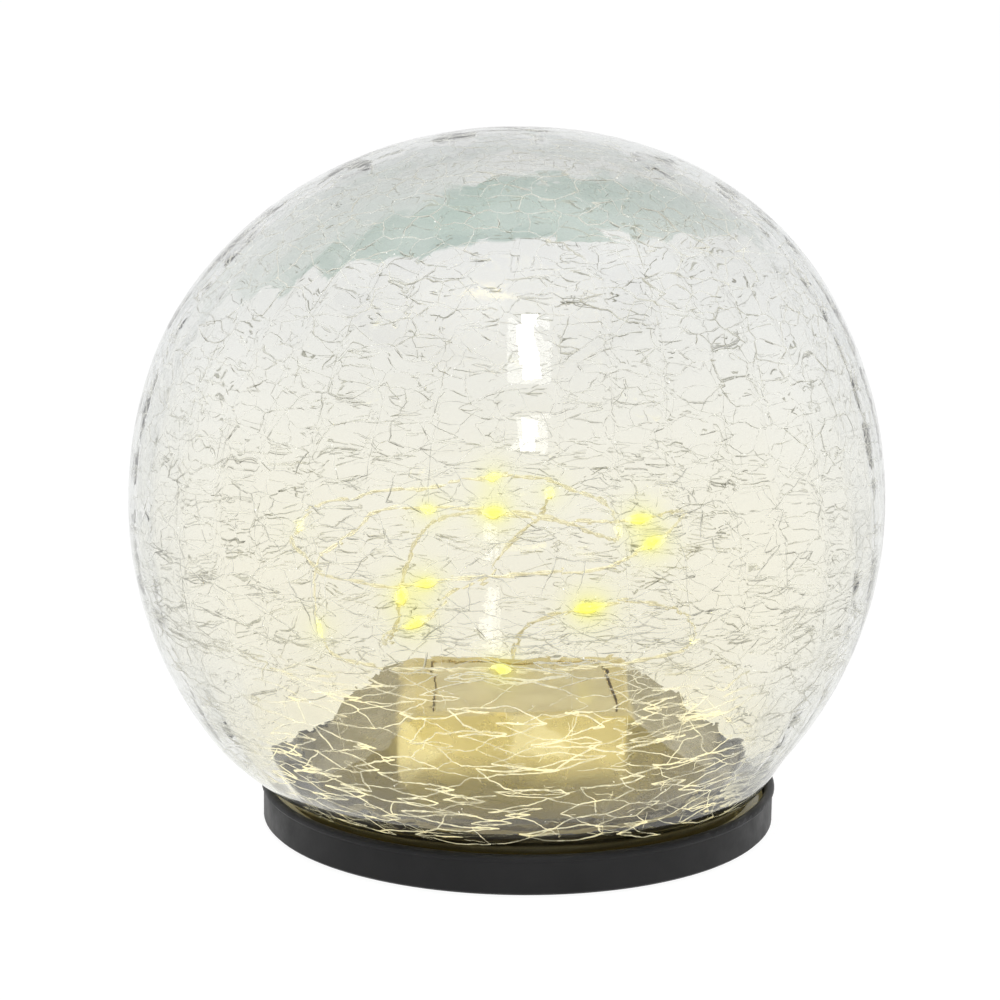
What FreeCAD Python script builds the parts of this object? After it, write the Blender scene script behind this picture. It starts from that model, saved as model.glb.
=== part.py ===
import FreeCAD, Part
import math
import os

# Garden globe light: a crackle-glass ball on a low black tray, with a solar
# module in its neck and a string of tiny lamps standing inside the ball.
# Millimetres, +Z up, origin on the ground under the middle of the object.

V = FreeCAD.Vector
os.makedirs("parts", exist_ok=True)

# ---- driving dimensions ----
GLOBE_R = 75.0          # outside of the ball
GLOBE_Z = 65.0          # height of its centre
GLASS_T = 2.4           # wall
NECK_RO = 47.2          # neck outside
NECK_RI = 44.8          # neck inside
NECK_Z = 4.2            # cut edge of the neck

RING_R = 51.5           # tray outside
RING_RI = 50.0          # tray wall inside
RING_Z0 = 0.6           # lower edge of the wall
RING_Z1 = 7.6           # start of the rounded lip
FLOOR_Z0 = 1.8          # underside of the floor
FLOOR_Z1 = 3.6          # top of the floor
CHANNEL_Z = 3.0         # floor of the glass channel
COLLAR_RO = 44.0
COLLAR_RI = 42.4
COLLAR_Z = 11.0

COVER_R = 43.8          # skirt of the module cover
COVER_Z0 = 11.8
SKIRT_Z = 13.0          # where the facets begin
TOP_Z = 27.0            # flat top of the module
CONE_TOP_R = 36.0       # round cut over the corners, at the top
FACET_H0 = 41.0         # half width of the four facets, low
FACET_H1 = 21.0         # half width of the flat top
FACET_TURN = 3.0        # turn of the facets about Z
COVER_T = 1.6

PANEL_RECESS = 36.4     # square recess for the solar panel

CELL_R = 7.25           # AA cell
CELL_L = 49.2
CELL_C = (0.8, -15.0, 11.5)

BAY_X = 28.75           # half length of the battery bay
BAY_Y = 8.25            # half width
BAY_YC = -15.0
BAY_WALL = 1.3
BAY_Z1 = 11.0

DOOR_HX, DOOR_HY = 30.9, 10.4
DOOR_Z0, DOOR_Z1 = 1.2, 2.5
EAR_X, EAR_R = 34.0, 5.0

PCB = (46.0, 25.0, 1.6)
PCB_C = (0.0, 18.5)
PCB_Z = 8.0

SWITCH_C = (0.0, 24.0)
KNOB_X = 1.5            # knob drawn at the +X end of its 3 mm travel

FOOT_R = 4.4
FOOT_AT = 40.0
COVER_SCREW_AT = 38.6
COVER_SCREW_ANGLES = (40.0, 140.0, 230.0, 310.0)
COVER_SCREW_TIP = 15.4

WIRE_D = 0.9            # two twisted strands, overall
BEAD_L, BEAD_D = 3.4, 2.3

# Route of the lamp string: straight runs between these points, with tangent
# arcs at each of them. Every second run, from the third, carries a lamp.
ROUTE = [
    (0.0, 33.5, 22.2),
    (0.0, 33.5, 29.7),
    (5.4, 25.8, 34.7),
    (24.5, 29.0, 38.4),
    (39.6, 10.0, 38.4),
    (31.3, -9.1, 35.7),
    (5.7, -10.8, 33.1),
    (-14.1, -5.2, 31.9),
    (-36.6, -3.5, 31.2),
    (-45.5, 9.7, 44.3),
    (-29.6, 25.3, 59.3),
    (-9.1, 29.5, 56.7),
    (16.0, 29.5, 53.2),
    (34.0, 20.1, 59.2),
    (33.5, -3.9, 64.2),
    (18.4, -15.6, 55.1),
    (-7.7, -23.9, 56.1),
    (-28.7, -26.4, 53.1),
    (-48.1, -9.3, 57.3),
    (-43.0, 10.6, 62.2),
    (-16.7, 18.3, 64.7),
    (5.1, 19.2, 67.0),
    (18.8, -3.4, 64.3),
    (19.6, -24.7, 61.5),
    (4.9, -41.4, 72.9),
    (-15.3, -38.7, 71.6),
    (-22.7, -20.6, 60.1),
    (-23.7, -15.6, 40.1),
    (-28.7, 5.6, 34.9),
    (-14.4, 19.8, 38.2),
    (3.8, 14.9, 57.8),
    (4.8, 7.6, 65.4),
]


# ---- helpers ----
def cyl(r, z0, z1, x=0.0, y=0.0):
    return Part.makeCylinder(r, z1 - z0, V(x, y, z0), V(0, 0, 1))


def tube(ro, ri, z0, z1, x=0.0, y=0.0):
    return cyl(ro, z0, z1, x, y).cut(cyl(ri, z0 - 1, z1 + 1, x, y))


def box(x0, x1, y0, y1, z0, z1):
    return Part.makeBox(x1 - x0, y1 - y0, z1 - z0, V(x0, y0, z0))


def turned(shape, deg, centre=V(0, 0, 0)):
    s = shape.copy()
    s.rotate(centre, V(0, 0, 1), deg)
    return s


def rounded_plate(hx, hy, r, z0, z1, x=0.0, y=0.0):
    b = box(x - hx, x + hx, y - hy, y + hy, z0, z1)
    return b.makeFillet(r, [e for e in b.Edges if abs(e.Vertexes[0].Z - e.Vertexes[1].Z) > 0.5 * (z1 - z0)])


def revolve(edges):
    face = Part.Face(Part.Wire(edges))
    return face.revolve(V(0, 0, 0), V(0, 0, 1), 360)


def poly_revolve(pts):
    p = [V(r, 0, z) for r, z in pts]
    return revolve([Part.makeLine(p[i], p[(i + 1) % len(p)]) for i in range(len(p))])


def solid(shape):
    s = shape.removeSplitter()
    if s.ShapeType == "Compound" and len(s.Solids) == 1:
        s = s.Solids[0]
    return s


def pipe(points, dia, share=0.45, label=None):
    """Straight runs joined by tangent arcs, each as large as its runs allow."""
    pts = [V(*p) for p in points]
    edges, radii, cursor = [], [], pts[0]
    for i in range(1, len(pts) - 1):
        a, b, c = pts[i - 1], pts[i], pts[i + 1]
        u = (b - a).normalize()
        w = (c - b).normalize()
        turn = u.getAngle(w)
        cut = share * min((b - a).Length, (c - b).Length)
        radii.append(cut / math.tan(turn / 2))
        p, q = b - u * cut, b + w * cut
        m = (w - u).normalize()
        centre_dist = radii[-1] / math.cos(turn / 2)
        mid = b + m * (centre_dist - radii[-1])
        edges.append(Part.LineSegment(cursor, p).toShape())
        edges.append(Part.Arc(p, mid, q).toShape())
        cursor = q
    edges.append(Part.LineSegment(cursor, pts[-1]).toShape())
    wire = Part.Wire(edges)
    d = (pts[1] - pts[0]).normalize()
    ring = Part.Wire(Part.makeCircle(dia / 2, pts[0], d))
    body = wire.makePipeShell([ring], True, False)
    if label:
        length = sum(e.Length for e in edges)
        print("%s: length %.1f, volume %.2f, section x length %.2f, radii %s" % (
            label, length, body.Volume, math.pi * dia * dia / 4 * length,
            " ".join("%.1f" % r for r in radii)))
    return body


def save(name, shape):
    shapes = shape if isinstance(shape, list) else [shape]
    solids = []
    for s in shapes:
        solids += s.Solids
    for s in solids:
        if not s.isValid() or s.Volume <= 0:
            print("PROBLEM", name, s.isValid(), s.Volume)
    out = solids[0] if len(solids) == 1 else Part.makeCompound(solids)
    out.exportStep("parts/%s.step" % name)
    print("%-16s solids %2d  volume %9.1f  valid %s" % (name, len(solids), sum(s.Volume for s in solids), out.isValid()))
    return out


def polar(r, deg):
    return r * math.cos(math.radians(deg)), r * math.sin(math.radians(deg))


# ---- glass globe: ball with a short straight neck, ground flat at its edge ----
def sphere_z(radius, r):
    return GLOBE_Z - math.sqrt(radius * radius - r * r)


ri = GLOBE_R - GLASS_T
zo, zi = sphere_z(GLOBE_R, NECK_RO), sphere_z(ri, NECK_RI)
p = [V(NECK_RI, 0, NECK_Z), V(NECK_RO, 0, NECK_Z), V(NECK_RO, 0, zo), V(0, 0, GLOBE_Z + GLOBE_R),
     V(0, 0, GLOBE_Z + ri), V(NECK_RI, 0, zi)]
glass = revolve([
    Part.makeLine(p[0], p[1]), Part.makeLine(p[1], p[2]),
    Part.Arc(p[2], V(GLOBE_R, 0, GLOBE_Z), p[3]).toShape(),
    Part.makeLine(p[3], p[4]),
    Part.Arc(p[4], V(ri, 0, GLOBE_Z), p[5]).toShape(),
    Part.makeLine(p[5], p[0])])
save("glass_globe", glass)

# ---- base tray ----
q = [V(r, 0, z) for r, z in [
    (0, FLOOR_Z0), (49.0, FLOOR_Z0), (49.9, RING_Z0), (51.1, RING_Z0), (RING_R, 1.0), (RING_R, 7.0), (51.9, 7.5)]]
lip_in = V(RING_RI, 0, RING_Z1)
rest = [V(r, 0, z) for r, z in [
    (RING_RI, CHANNEL_Z), (COLLAR_RO, CHANNEL_Z), (COLLAR_RO, COLLAR_Z - 0.4), (COLLAR_RO - 0.4, COLLAR_Z),
    (COLLAR_RI, COLLAR_Z), (COLLAR_RI, FLOOR_Z1), (0, FLOOR_Z1)]]
edges = [Part.makeLine(q[i], q[i + 1]) for i in range(len(q) - 1)]
edges.append(Part.Arc(q[-1], V(50.95, 0, 8.55), lip_in).toShape())
chain = [lip_in] + rest
edges += [Part.makeLine(chain[i], chain[i + 1]) for i in range(len(chain) - 1)]
edges.append(Part.makeLine(chain[-1], q[0]))
tray = revolve(edges)

bay = box(-BAY_X - BAY_WALL, BAY_X + BAY_WALL, BAY_YC - BAY_Y - BAY_WALL, BAY_YC + BAY_Y + BAY_WALL, 2.6, BAY_Z1)
adds = [bay]
for s in (-1, 1):
    adds.append(cyl(4.2, 2.6, 10.0, s * EAR_X, BAY_YC))
screw_xy = [polar(COVER_SCREW_AT, a) for a in COVER_SCREW_ANGLES]
for x, y in screw_xy:
    adds.append(cyl(4.2, 3.0, 10.8, x, y))
post_xy = [(sx * 19.5, PCB_C[1] + sy * 9.0) for sx in (-1, 1) for sy in (-1, 1)]
for x, y in post_xy:
    adds.append(cyl(2.4, 3.0, PCB_Z, x, y))
# raised I and O beside the switch slot, read from below
adds.append(box(7.1, 7.6, 22.8, 25.2, FLOOR_Z0 - 0.25, FLOOR_Z0 + 0.2))
adds.append(tube(1.25, 0.8, FLOOR_Z0 - 0.25, FLOOR_Z0 + 0.2, -7.4, 24.0))
tray = tray.fuse(adds)

cuts = [
    box(-BAY_X, BAY_X, BAY_YC - BAY_Y, BAY_YC + BAY_Y, 0, BAY_Z1 + 1),
    rounded_plate(DOOR_HX + 0.3, DOOR_HY + 0.3, 2.0, 0.5, 3.0, 0, BAY_YC),
    box(-3.2, 3.2, 22.8, 25.2, 0, 5),
    rounded_plate(5.0, 2.6, 2.0, 1.0, 2.4, 0, 24.0),
]
for s in (-1, 1):
    cuts.append(cyl(EAR_R + 0.3, 0.5, 3.0, s * EAR_X, BAY_YC))
    cuts.append(cyl(1.35, 0.5, 9.0, s * EAR_X, BAY_YC))
for x, y in screw_xy:
    cuts.append(cyl(1.7, 0, 12, x, y))
    cuts.append(cyl(2.9, 0, 5.0, x, y))
for x, y in post_xy:
    cuts.append(cyl(0.95, 4.2, 9.0, x, y))
for a in (0, 90, 180, 270):
    x, y = polar(FOOT_AT, a)
    cuts.append(cyl(FOOT_R + 0.1, 0, 2.3, x, y))
tray = solid(tray.cut(cuts))
save("base_tray", tray)

# ---- what holds and seals the glass ----
save("seat_gasket", solid(tube(49.4, 44.2, CHANNEL_Z, NECK_Z)))
save("neck_sealant", poly_revolve([(NECK_RO, NECK_Z), (49.6, NECK_Z), (49.6, 5.6), (48.9, 5.9), (48.0, 6.1), (NECK_RO, 6.4)]))


# ---- module cover: round skirt, four sloping facets, square flat top ----
def module_body(t, z0):
    """Outer form of the module, made smaller by t all round."""
    top = TOP_Z - t
    k = (CONE_TOP_R - COVER_R) / (TOP_Z - SKIRT_Z)
    slope = math.hypot(1, k)
    off = t * slope
    cone = poly_revolve([(0, z0), (COVER_R - t, z0), (COVER_R - t, SKIRT_Z + 0.6 - 0.4 * t),
                         (COVER_R + k * (top - SKIRT_Z) - off + 0.1 * t, top), (0, top)])
    kf = (FACET_H1 - FACET_H0) / (TOP_Z - SKIRT_Z)
    offf = t * math.hypot(1, kf)
    zl = SKIRT_Z - 0.9 * t
    hl = FACET_H0 + kf * (zl - SKIRT_Z) - offf
    ht = FACET_H0 + kf * (top - SKIRT_Z) - offf

    def sq(h, z):
        c = [V(-h, -h, z), V(h, -h, z), V(h, h, z), V(-h, h, z)]
        return Part.makePolygon(c + [c[0]])

    pyramid = Part.makeLoft([sq(hl, zl), sq(ht, top)], True, True)
    pyramid = turned(pyramid, FACET_TURN)
    lower = cyl(COVER_R - t, z0, zl)
    return lower.fuse(cone.common(pyramid)).removeSplitter()


outer = module_body(0.0, COVER_Z0)
inner = module_body(COVER_T, COVER_Z0 - 2.0)
shell = outer.cut(inner)
# pad under the panel, columns for the screws, sleeve for the wire
pad = turned(box(-FACET_H1 + 0.5, FACET_H1 - 0.5, -FACET_H1 + 0.5, FACET_H1 - 0.5, TOP_Z - 5.0, TOP_Z), FACET_TURN)
adds = [pad.common(outer)]
for x, y in screw_xy:
    adds.append(cyl(3.2, COVER_Z0 - 0.8, 26.0, x, y).common(outer.fuse(cyl(COVER_R - 1.2, COVER_Z0 - 0.8, COVER_Z0))))
GX, GY = ROUTE[0][0], ROUTE[0][1]
boss = poly_revolve([(0, 12.5), (4.6, 12.5), (4.6, 18.6), (4.0, 20.6), (0, 20.6)])
boss.translate(V(GX, GY, 0))
shell = shell.fuse(adds + [boss.cut(inner.cut(cyl(4.6, 16.0, 22.0, GX, GY)))])
cuts = [turned(box(-PANEL_RECESS / 2, PANEL_RECESS / 2, -PANEL_RECESS / 2, PANEL_RECESS / 2, TOP_Z - 3.6, TOP_Z + 1), FACET_TURN),
        turned(box(-6, 6, -6, 6, TOP_Z - 8, TOP_Z), FACET_TURN),
        cyl(2.0, 10.0, 24.0, GX, GY),
        cyl(3.2, 10.0, 16.0, GX, GY),
        cyl(3.4, 20.6, 26.0, GX, GY)]
for x, y in screw_xy:
    cuts.append(cyl(1.5, 9.0, COVER_SCREW_TIP + 0.6, x, y))
shell = solid(shell.cut(cuts))
save("module_cover", shell)
save("cover_seal", solid(tube(43.7, 42.6, COLLAR_Z, COVER_Z0)))

# ---- solar panel stack ----
zp = TOP_Z - 3.6
backplate = turned(box(-17.9, 17.9, -17.9, 17.9, zp, zp + 1.0), FACET_TURN)
for s in (-1, 1):
    hx, hy = s * 3.0, 0.0
    h = turned(cyl(0.7, zp - 1, zp + 2, hx, hy), FACET_TURN)
    backplate = backplate.cut(h)
save("solar_backplate", solid(backplate))
cells = []
for i in range(6):
    x0 = -16.8 + i * 5.65
    cells.append(turned(box(x0, x0 + 5.25, -16.6, 16.6, zp + 1.0, zp + 1.35), FACET_TURN))
save("solar_cells", cells)
ribbons = []
for y in (-9.0, 9.0):
    ribbons.append(turned(box(-16.8, 16.7, y - 0.6, y + 0.6, zp + 1.35, zp + 1.5), FACET_TURN))
save("cell_ribbons", ribbons)
win = box(-18.0, 18.0, -18.0, 18.0, zp + 1.6, TOP_Z - 0.2)
win = win.makeFillet(0.5, [e for e in win.Edges if e.Vertexes[0].Z > TOP_Z - 0.3 and e.Vertexes[1].Z > TOP_Z - 0.3])
save("solar_window", turned(win, FACET_TURN))

# ---- battery and contacts ----
cx, cy, cz = CELL_C
cell = Part.makeCylinder(CELL_R, CELL_L, V(cx - CELL_L / 2, cy, cz), V(1, 0, 0))
cell = cell.makeFillet(0.6, [e for e in cell.Edges if e.Closed and len(e.Vertexes) == 1])
nub = Part.makeCylinder(2.7, 1.2, V(cx + CELL_L / 2 - 0.1, cy, cz), V(1, 0, 0))
save("battery_cell", solid(cell.fuse(nub)))
x_end = cx - CELL_L / 2
spring = box(-BAY_X + 0.1, -BAY_X + 0.6, cy - 4.0, cy + 4.0, cz - 5.0, cz + 3.0)
rings = []
for i, r in enumerate((5.0, 4.4, 3.8, 3.2)):
    rings.append(Part.makeTorus(r, 0.5, V(-BAY_X + 0.95 + i * 0.74, cy, cz), V(1, 0, 0)))
save("contact_spring", solid(spring.fuse(rings)))
tip = cx + CELL_L / 2 + 1.1
plate = box(BAY_X - 0.6, BAY_X - 0.1, cy - 4.0, cy + 4.0, cz - 5.0, cz + 3.0)
button = Part.makeCylinder(2.2, BAY_X - 0.5 - tip, V(tip, cy, cz), V(1, 0, 0))
save("contact_plate", solid(plate.fuse(button)))

# ---- circuit board and what is on it ----
bx, by = PCB_C
zb0, zb1 = PCB_Z, PCB_Z + PCB[2]
board = rounded_plate(PCB[0] / 2, PCB[1] / 2, 1.5, zb0, zb1, bx, by)
holes = [cyl(1.2, zb0 - 1, zb1 + 1, x, y) for x, y in post_xy]
pin_x = (-2.5, 0.0, 2.5)
holes += [cyl(0.45, zb0 - 1, zb1 + 1, x, SWITCH_C[1]) for x in pin_x]
pad_holes = {"b+": (14.0, 9.0), "b-": (-14.0, 9.0), "p+": (5.0, 9.5), "p-": (-5.0, 9.5), "s+": (-2.0, 29.5), "s-": (2.0, 29.5)}
save("circuit_board", solid(board.cut(holes)))
chip = box(8.0, 13.0, 17.0, 21.0, zb1 + 0.15, zb1 + 1.7)
legs = []
for i in range(4):
    x = 8.595 + i * 1.27
    for s in (-1, 1):
        y = 19.0 + s * 2.0
        legs.append(box(x - 0.2, x + 0.2, min(y, y + s * 1.0), max(y, y + s * 1.0), zb1, zb1 + 0.3))
save("controller_chip", solid(chip.fuse(legs)))
drum = poly_revolve([(0, 0), (3.6, 0), (3.6, 1.0), (2.4, 1.3), (2.4, 3.7), (3.6, 4.0), (3.6, 5.0), (0, 5.0)])
drum.translate(V(-10.0, 17.0, zb1))
save("boost_inductor", drum)
cap = cyl(2.5, zb1, zb1 + 7.0, -16.5, 22.0)
cap = cap.makeFillet(0.4, [e for e in cap.Edges if e.Closed and len(e.Vertexes) == 1 and e.Vertexes[0].Z > zb1 + 6])
save("capacitor", cap)
diode = box(-2.2, 2.2, 13.2, 15.8, zb1 + 0.1, zb1 + 2.2)
save("flyback_diode", solid(diode.fuse([box(-3.0, -2.1, 13.8, 15.2, zb1, zb1 + 0.4), box(2.1, 3.0, 13.8, 15.2, zb1, zb1 + 0.4)])))
scr = []
for x, y in post_xy:
    head = cyl(1.9, zb1, zb1 + 1.4, x, y).cut(box(x - 1.2, x + 1.2, y - 0.25, y + 0.25, zb1 + 0.9, zb1 + 2))
    scr.append(solid(head.fuse(cyl(0.9, 4.4, zb1 + 0.2, x, y))))
save("board_screws", scr)

# ---- switch ----
sx, sy = SWITCH_C
sb = box(sx - 4.5, sx + 4.5, sy - 2.0, sy + 2.0, 3.7, 7.7)
sb = sb.cut(box(sx - 3.05, sx + 3.05, sy - 1.2, sy + 1.2, 3.0, 5.6))
sb = sb.fuse([cyl(0.35, 7.4, 10.4, sx + x, sy) for x in pin_x])
save("switch_body", solid(sb))
knob = box(sx + KNOB_X - 1.15, sx + KNOB_X + 1.15, sy - 0.9, sy + 0.9, 1.0, 5.3)
grooves = [box(sx + KNOB_X + d - 0.15, sx + KNOB_X + d + 0.15, sy - 1, sy + 1, 0.9, 1.25) for d in (-0.6, 0.0, 0.6)]
save("switch_knob", solid(knob.cut(grooves)))

# ---- battery door with its gasket and screws ----
door = rounded_plate(DOOR_HX, DOOR_HY, 1.7, DOOR_Z0, DOOR_Z1, 0, BAY_YC)
door = door.fuse([cyl(EAR_R, DOOR_Z0, DOOR_Z1, s * EAR_X, BAY_YC) for s in (-1, 1)]).removeSplitter()
ribs = [box(-27.5, 27.5, BAY_YC + d - 0.6, BAY_YC + d + 0.6, DOOR_Z1 - 0.1, 3.0) for d in (-4.5, 4.5)]
door = door.fuse(ribs)
door = door.cut([cyl(1.6, 0, 4, s * EAR_X, BAY_YC) for s in (-1, 1)] + [cyl(2.7, 0, 1.8, s * EAR_X, BAY_YC) for s in (-1, 1)]
                + [rounded_plate(4.0, 1.0, 0.9, 0.5, 1.6, 0, BAY_YC + 6.0)])
save("battery_door", solid(door))
gasket = rounded_plate(30.6, 10.1, 1.5, DOOR_Z1, 2.9, 0, BAY_YC).cut(box(-29.2, 29.2, BAY_YC - 8.8, BAY_YC + 8.8, 2, 4))
save("door_gasket", solid(gasket))


def cross_screw(x, y, z_head, head_r, head_h, shank_r, z_tip):
    """Pan-head screw, head down, with a cross recess."""
    head = cyl(head_r, z_head, z_head + head_h, x, y)
    head = head.makeFillet(0.35, [e for e in head.Edges if e.Closed and len(e.Vertexes) == 1 and e.Vertexes[0].Z < z_head + 0.1])
    shank = cyl(shank_r, z_head + head_h - 0.1, z_tip, x, y)
    w = 0.32 * head_r / 2
    cross = [box(x - 0.6 * head_r, x + 0.6 * head_r, y - w, y + w, z_head - 1, z_head + 0.5 * head_h),
             box(x - w, x + w, y - 0.6 * head_r, y + 0.6 * head_r, z_head - 1, z_head + 0.5 * head_h)]
    return solid(head.fuse(shank).cut(cross))


save("door_screws", [cross_screw(s * EAR_X, BAY_YC, 0.7, 2.4, 1.1, 1.25, 8.2) for s in (-1, 1)])
save("cover_screws", [cross_screw(x, y, 3.2, 2.7, 1.8, 1.45, COVER_SCREW_TIP) for x, y in screw_xy])

# ---- feet ----
feet = []
for a in (0, 90, 180, 270):
    x, y = polar(FOOT_AT, a)
    f = cyl(FOOT_R, 0, 2.3, x, y)
    feet.append(f.makeFillet(0.5, [e for e in f.Edges if e.Closed and len(e.Vertexes) == 1 and e.Vertexes[0].Z < 0.1]))
save("rubber_feet", feet)

# ---- grommet, lamp string and lamps ----
gz1 = 22.4
grommet = poly_revolve([(0.55, 14.9), (3.0, 14.9), (3.0, 16.0), (1.9, 16.0), (1.9, 20.6), (2.9, 20.6), (2.9, 21.4), (1.6, gz1), (0.55, gz1)])
grommet.translate(V(GX, GY, 0))
save("string_grommet", grommet)
save("light_string", pipe(ROUTE, WIRE_D, label="light_string"))

beads = []
lamp_runs = [(ROUTE[i], ROUTE[i + 1]) for i in range(2, len(ROUTE) - 3, 2)]


def bead(centre, direction):
    s = Part.makeSphere(BEAD_D / 2)
    m = FreeCAD.Matrix()
    m.scale(V(1, 1, BEAD_L / BEAD_D))
    s = s.transformGeometry(m)
    rot = FreeCAD.Rotation(V(0, 0, 1), direction)
    s.Placement = FreeCAD.Placement(centre, rot)
    return s


for a, b in lamp_runs:
    a, b = V(*a), V(*b)
    beads.append(bead((a + b) / 2, (b - a).normalize()))
a, b = V(*ROUTE[-2]), V(*ROUTE[-1])
beads.append(bead(b, (b - a).normalize()))
save("led_beads", beads)

# ---- leads inside the module ----
zt = zb1 + 0.02
panel = []
for s in (-1, 1):
    hx, hy = s * 3.0 * math.cos(math.radians(FACET_TURN)), s * 3.0 * math.sin(math.radians(FACET_TURN))
    panel.append(pipe([(hx, hy, zp + 0.6), (hx, hy, 20.5), (s * 5.0, 9.5, 17.0), (s * 5.0, 9.5, zt)], 1.0))
save("panel_leads", panel)
batt = [pipe([(k * 14.0, 9.0, zt), (k * 14.0, 9.0, 13.6), (k * 25.0, 3.0, 14.4), (k * 30.6, -5.0, 14.0), (k * 29.25, -12.6, 12.8)], 1.0)
        for k in (-1, 1)]
save("battery_leads", batt)
save("string_leads", [pipe([(s * 2.0, 29.5, zt), (s * 2.0, 29.5, 12.4), (s * 0.8, 33.5, 13.2), (s * 0.8, 33.5, 14.8)], 0.6) for s in (-1, 1)])
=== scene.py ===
import math

import bmesh
import bpy
import numpy as np
from mathutils import Matrix, Vector


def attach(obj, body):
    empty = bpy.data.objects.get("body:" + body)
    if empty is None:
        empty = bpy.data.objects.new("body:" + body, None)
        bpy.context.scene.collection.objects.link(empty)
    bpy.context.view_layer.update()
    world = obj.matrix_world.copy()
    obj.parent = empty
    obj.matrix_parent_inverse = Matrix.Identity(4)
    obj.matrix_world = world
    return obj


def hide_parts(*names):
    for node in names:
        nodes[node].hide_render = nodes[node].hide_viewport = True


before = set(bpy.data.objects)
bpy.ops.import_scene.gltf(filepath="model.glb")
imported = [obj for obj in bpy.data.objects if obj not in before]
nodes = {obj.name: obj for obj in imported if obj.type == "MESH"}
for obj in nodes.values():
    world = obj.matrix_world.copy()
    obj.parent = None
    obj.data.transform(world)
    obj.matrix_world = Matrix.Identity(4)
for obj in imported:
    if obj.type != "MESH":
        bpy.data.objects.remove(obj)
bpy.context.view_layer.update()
scene = bpy.context.scene

# ------------------------------------------------------------------ view
scene.view_settings.view_transform = "Standard"
scene.view_settings.look = "None"
scene.cycles.max_bounces = 20
scene.cycles.transmission_bounces = 16
scene.cycles.transparent_max_bounces = 96
scene.cycles.diffuse_bounces = 5
scene.cycles.glossy_bounces = 6
scene.cycles.sample_clamp_indirect = 4.0

# ------------------------------------------------------------------ camera
CAM_D = 0.650           # level distance from the middle of the light
CAM_H = 0.2118
AIM_Z = 0.0655
FOCAL_PX = 3344.0
cam_data = bpy.data.cameras.new("camera")
cam = bpy.data.objects.new("camera", cam_data)
scene.collection.objects.link(cam)
cam_data.sensor_width = 36.0
cam_data.lens = FOCAL_PX / 1000.0 * 36.0
cam_data.clip_start, cam_data.clip_end = 0.01, 50.0
eye = Vector((0.0, -CAM_D, CAM_H))
aim = Vector((0.0, 0.0, AIM_Z))
cam.location = eye
cam.rotation_mode = "QUATERNION"
look = (aim - eye).to_track_quat("-Z", "Y")
ROLL = math.radians(0.7)
cam.rotation_quaternion = look @ Matrix.Rotation(ROLL, 4, "Z").to_quaternion()
cam_data.shift_x = -0.0215
cam_data.shift_y = 0.0
scene.camera = cam


# ------------------------------------------------------------------ small helpers
def link(name, mesh, body="lamp", mats=()):
    ob = bpy.data.objects.new(name, mesh)
    scene.collection.objects.link(ob)
    for m in mats:
        mesh.materials.append(m)
    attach(ob, body)
    return ob


def mesh_from(name, verts, faces, smooth=True):
    me = bpy.data.meshes.new(name)
    me.from_pydata([tuple(v) for v in verts], [], faces)
    me.update()
    if smooth:
        me.polygons.foreach_set("use_smooth", [True] * len(me.polygons))
    return me


def quick_mesh(name, verts, quads, tris=None, smooth=True, mat_index=None):
    """Mesh from arrays, fast enough for a few hundred thousand faces."""
    verts = np.asarray(verts, np.float32)
    quads = np.asarray(quads, np.int32).reshape(-1, 4)
    tris = np.zeros((0, 3), np.int32) if tris is None else np.asarray(tris, np.int32).reshape(-1, 3)
    me = bpy.data.meshes.new(name)
    me.vertices.add(len(verts))
    me.vertices.foreach_set("co", verts.ravel())
    loops = np.concatenate([quads.ravel(), tris.ravel()])
    me.loops.add(len(loops))
    me.loops.foreach_set("vertex_index", loops)
    n = len(quads) + len(tris)
    me.polygons.add(n)
    starts = np.concatenate([np.arange(len(quads)) * 4, len(quads) * 4 + np.arange(len(tris)) * 3])
    me.polygons.foreach_set("loop_start", starts.astype(np.int32))
    me.polygons.foreach_set("use_smooth", [smooth] * n)
    if mat_index is not None:
        me.polygons.foreach_set("material_index", np.asarray(mat_index, np.int32))
    me.update(calc_edges=True)
    me.validate()
    return me


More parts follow.
